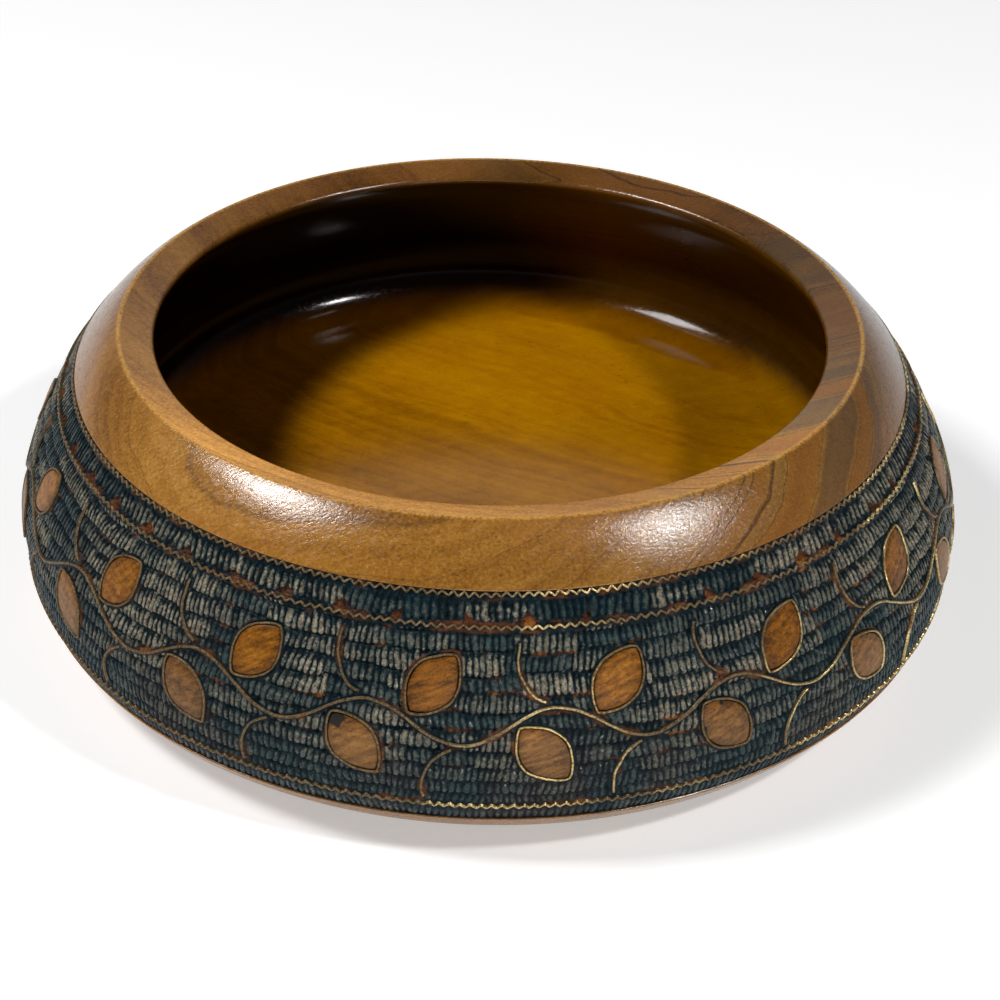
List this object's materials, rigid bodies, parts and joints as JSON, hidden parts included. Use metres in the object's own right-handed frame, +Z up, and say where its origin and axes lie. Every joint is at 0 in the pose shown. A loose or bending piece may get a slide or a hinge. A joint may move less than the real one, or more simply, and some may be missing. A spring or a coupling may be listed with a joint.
{
  "type": "carved wooden bowl",
  "caption": "Squat turned wooden bowl with an inward-closing shoulder, a gouge-carved band and a leafy vine inlaid in brass strip.",
  "frame": {"origin": "centre of the flat foot, on the surface that the bowl stands on", "axes": "+Z up, along the turning axis; the front of the pattern faces -Y"},
  "size_m": [0.2002, 0.1999, 0.0619],
  "materials": {
    "wood": "oiled and waxed, near black where it is carved",
    "brass": "worn satin"
  },
  "bodies": {
    "root": {"bowl_body": "wood", "shoulder_ring": "brass", "upper_ring": "brass", "lower_ring": "brass", "vine_length_01": "brass", "vine_length_02": "brass", "vine_length_03": "brass", "vine_length_04": "brass", "vine_length_05": "brass", "vine_length_06": "brass", "vine_length_07": "brass", "vine_length_08": "brass", "vine_length_09": "brass", "vine_length_10": "brass", "vine_length_11": "brass", "vine_length_12": "brass", "vine_length_13": "brass", "vine_length_14": "brass", "vine_length_15": "brass", "vine_length_16": "brass", "vine_length_17": "brass", "upper_leaf_outline_01": "brass", "upper_leaf_outline_02": "brass", "upper_leaf_outline_03": "brass", "upper_leaf_outline_04": "brass", "upper_leaf_outline_05": "brass", "upper_leaf_outline_06": "brass", "upper_leaf_outline_07": "brass", "upper_leaf_outline_08": "brass", "upper_leaf_outline_09": "brass", "upper_leaf_outline_10": "brass", "upper_leaf_outline_11": "brass", "upper_leaf_outline_12": "brass", "upper_leaf_outline_13": "brass", "upper_leaf_outline_14": "brass", "upper_leaf_outline_15": "brass", "upper_leaf_outline_16": "brass", "upper_leaf_outline_17": "brass", "lower_leaf_outline_01": "brass", "lower_leaf_outline_02": "brass", "lower_leaf_outline_03": "brass", "lower_leaf_outline_04": "brass", "lower_leaf_outline_05": "brass", "lower_leaf_outline_06": "brass", "lower_leaf_outline_07": "brass", "lower_leaf_outline_08": "brass", "lower_leaf_outline_09": "brass", "lower_leaf_outline_10": "brass", "lower_leaf_outline_11": "brass", "lower_leaf_outline_12": "brass", "lower_leaf_outline_13": "brass", "lower_leaf_outline_14": "brass", "lower_leaf_outline_15": "brass", "lower_leaf_outline_16": "brass", "lower_leaf_outline_17": "brass"}
  },
  "joints": []
}
